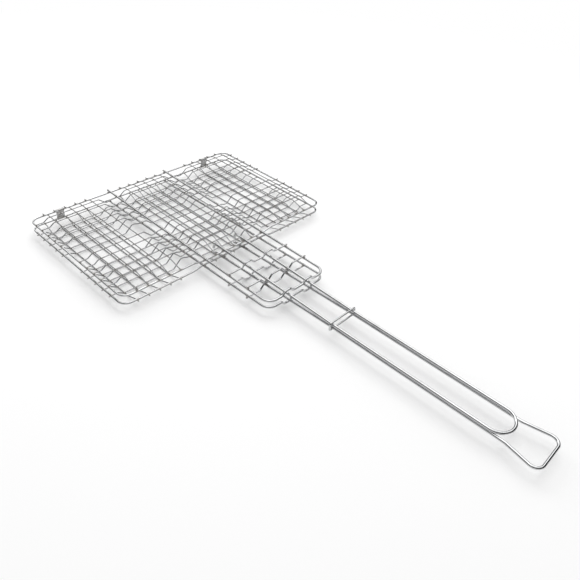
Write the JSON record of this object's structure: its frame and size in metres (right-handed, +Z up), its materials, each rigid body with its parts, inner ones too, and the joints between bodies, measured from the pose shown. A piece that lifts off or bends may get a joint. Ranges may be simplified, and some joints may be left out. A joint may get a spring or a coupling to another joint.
{
  "type": "campfire grill basket",
  "caption": "Hinged wire grill basket with two bulged mesh halves, long double wire handles, a sliding lock ring and a hanging loop at the end.",
  "frame": {"origin": "middle of the overall width and length, on the plane that the lower mesh stands on", "axes": "+Z up through the shut basket, +Y along the length from the handle's end to the hinge, +X across the basket"},
  "size_m": [0.4048, 0.7862, 0.034],
  "materials": {
    "rail_wire": "bright chrome plate on drawn steel wire",
    "neck_wire": "bright chrome plate on drawn steel wire",
    "handle_wire": "bright chrome plate on drawn steel wire",
    "mesh_wire": "bright chrome plate, thin wire with weld marks",
    "ring_wire": "bright chrome plate on drawn steel wire",
    "clip_sheet": "plated sheet steel strip"
  },
  "bodies": {
    "bottom_half": {"bottom_rim": "rail_wire", "bottom_neck_frame": "neck_wire", "bottom_neck_legs": "neck_wire", "bottom_handle": "handle_wire", "bottom_handle_loop": "handle_wire", "bottom_crossbar_inner": "neck_wire", "bottom_crossbar_outer": "neck_wire", "bottom_long_wires_left": "mesh_wire", "bottom_long_wires_middle": "mesh_wire", "bottom_long_wires_right": "mesh_wire", "bottom_cross_wires_front": "mesh_wire", "bottom_cross_wires_rear": "mesh_wire", "hinge_clip_left": "clip_sheet", "hinge_clip_right": "clip_sheet"},
    "top_half": {"top_rim": "rail_wire", "top_neck_frame": "neck_wire", "top_neck_legs": "neck_wire", "top_handle": "handle_wire", "top_handle_loop": "handle_wire", "top_crossbar_inner": "neck_wire", "top_crossbar_outer": "neck_wire", "top_long_wires_left": "mesh_wire", "top_long_wires_middle": "mesh_wire", "top_long_wires_right": "mesh_wire", "top_cross_wires_front": "mesh_wire", "top_cross_wires_rear": "mesh_wire"},
    "lock_ring": {"lock_ring": "ring_wire"}
  },
  "joints": [
    {"name": "lid_hinge", "type": "hinge", "parent": "bottom_half", "child": "top_half", "pos_m": [0, 0.38905, 0.024], "axis": [-1, 0, 0], "range_deg": [0, 180]},
    {"name": "ring_slide", "type": "slide", "parent": "bottom_half", "child": "lock_ring", "axis": [0, -1, 0], "range_m": [0, 0.26]}
  ]
}
